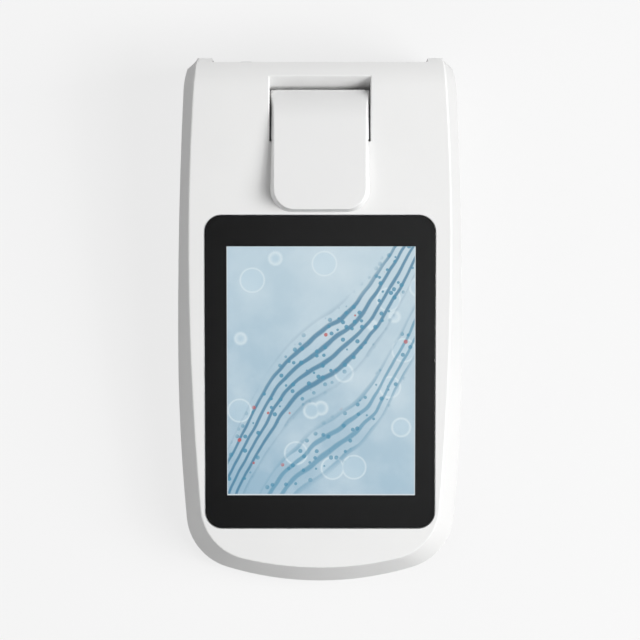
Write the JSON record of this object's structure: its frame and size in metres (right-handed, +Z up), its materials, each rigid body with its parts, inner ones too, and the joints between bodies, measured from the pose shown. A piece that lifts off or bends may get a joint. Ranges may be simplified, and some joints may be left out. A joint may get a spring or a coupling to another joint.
{
  "type": "bench fluorometer",
  "caption": "Bench fluorometer: a sloping white case with a glass touch panel and a small hinged lid over the well for an assay tube.",
  "frame": {"origin": "centre of the bounding box at the base: on the bench, under the middle of the case", "axes": "+X to the user's right, +Y from the front to the rear ports, +Z up"},
  "size_m": [0.1316, 0.2408, 0.0566],
  "materials": {
    "case_white": "satin",
    "lid_white": "satin",
    "cover_glass": "polished",
    "mask_black": "printed film",
    "screen": "lit display",
    "black_plastic": "fine texture",
    "button_white": "satin",
    "panel_grey": "fine texture",
    "foam": "foam",
    "foot_rubber": "matte",
    "steel": "plated",
    "anodised": "black anodised",
    "bare_aluminium": "satin",
    "optical_glass": "polished",
    "filter_glass": "coated",
    "blue_lens": "clear tinted",
    "red_lens": "clear tinted",
    "board_green": "solder mask",
    "chip_black": "moulded",
    "cable_tan": "film",
    "brass": "knurled",
    "magnet": "nickel plated",
    "bush_plastic": "natural"
  },
  "bodies": {
    "case": {"upper_shell": "case_white", "lower_shell": "case_white", "cover_glass": "cover_glass", "bezel_mask": "mask_black", "lcd_gasket": "foam", "lcd_panel": "screen", "lcd_frame": "steel", "lcd_brackets": "steel", "lcd_screws": "steel", "catch_discs": "steel", "hinge_pin": "steel", "sample_bezel": "black_plastic", "sample_collar": "black_plastic", "sample_sleeve": "black_plastic", "optics_block": "anodised", "lenses": "optical_glass", "excitation_filters": "filter_glass", "emission_filter": "filter_glass", "led_holders": "black_plastic", "blue_led": "blue_lens", "red_led": "red_lens", "led_boards": "board_green", "detector_housing": "anodised", "photodiode": "steel", "detector_board": "board_green", "detector_shield": "steel", "lid_sensor": "board_green", "optics_screws": "steel", "main_board": "board_green", "board_chips": "chip_black", "cell_holder": "chip_black", "coin_cell": "steel", "buzzer": "chip_black", "board_screws": "steel", "lcd_cable": "cable_tan", "io_cable": "cable_tan", "led_cables": "cable_tan", "detector_cable": "cable_tan", "io_board": "board_green", "dc_jack": "chip_black", "usb_b_socket": "steel", "usb_a_socket": "steel", "socket_tongues": "bush_plastic", "power_switch": "chip_black", "rear_panel": "panel_grey", "shell_inserts": "brass", "shell_screws": "steel", "rubber_feet": "foot_rubber", "rating_plate": "bare_aluminium"},
    "lid": {"lid_cover": "lid_white", "lid_liner": "black_plastic", "lid_seal": "foam", "lid_magnets": "magnet", "lid_screws": "steel", "hinge_bushes": "bush_plastic"},
    "button": {"power_button": "button_white", "switch_plunger": "bush_plastic"}
  },
  "joints": [
    {"name": "lid_hinge", "type": "hinge", "parent": "case", "child": "lid", "pos_m": [0, 0.1022, 0.0485], "axis": [-1, 0, 0], "range_deg": [0, 95]},
    {"name": "button_press", "type": "slide", "parent": "case", "child": "button", "axis": [0, -1, 0], "range_m": [0, 0.0015], "stiffness_N_per_m": 400, "springref_m": -0.0005}
  ]
}
